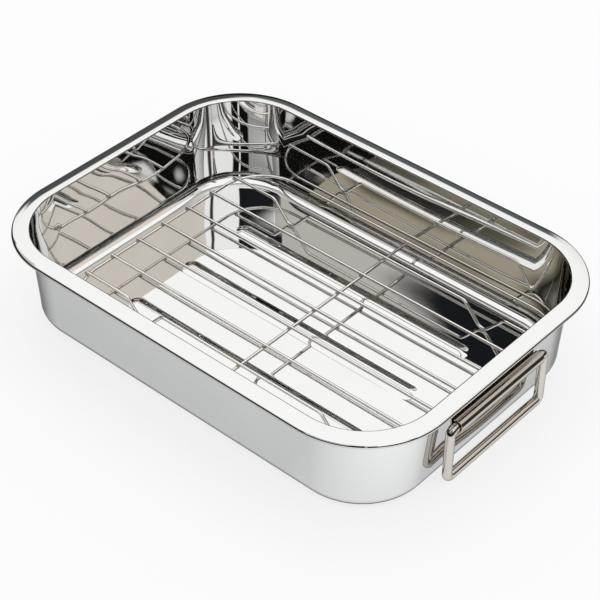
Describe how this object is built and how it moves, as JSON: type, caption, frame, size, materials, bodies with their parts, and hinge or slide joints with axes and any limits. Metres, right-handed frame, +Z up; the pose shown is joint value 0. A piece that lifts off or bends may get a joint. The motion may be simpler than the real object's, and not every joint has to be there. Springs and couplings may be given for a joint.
{
  "type": "roasting pan with rack",
  "caption": "Rectangular stainless roasting pan with a rolled rim, drop handles on its short ends and a loose footed wire rack",
  "frame": {"origin": "the middle of the flat base, on the surface that the pan stands on", "axes": "+Z up, +X along the pan's long side, +Y across it to the long side that is far from the picture's camera"},
  "size_m": [0.38, 0.28, 0.0765],
  "materials": {
    "pan_sheet": "mirror-polished stainless sheet",
    "bracket_sheet": "polished stainless sheet",
    "bail_rod": "satin-polished stainless rod",
    "rack_wire": "bright electropolished wire"
  },
  "bodies": {
    "pan": {"pan": "pan_sheet", "hinge_bracket_right": "bracket_sheet", "hinge_bracket_left": "bracket_sheet"},
    "bail_right": {"bail_right": "bail_rod"},
    "bail_left": {"bail_left": "bail_rod"},
    "rack": {"rack_frame": "rack_wire", "rack_wire_1": "rack_wire", "rack_wire_2": "rack_wire", "rack_wire_3": "rack_wire", "rack_wire_4": "rack_wire", "rack_wire_5": "rack_wire", "rack_wire_6": "rack_wire", "rack_wire_7": "rack_wire", "rack_cross_wire": "rack_wire"}
  },
  "joints": [
    {"name": "bail_right_swing", "type": "hinge", "parent": "pan", "child": "bail_right", "pos_m": [0.18216, 0, 0.0477], "axis": [0, -1, 0], "range_deg": [-6, 153]},
    {"name": "bail_left_swing", "type": "hinge", "parent": "pan", "child": "bail_left", "pos_m": [-0.18216, 0, 0.0477], "axis": [0, 1, 0], "range_deg": [-6, 153]},
    {"name": "rack_lift", "type": "slide", "parent": "pan", "child": "rack", "axis": [0, 0, 1], "range_m": [0, 0.12]}
  ]
}
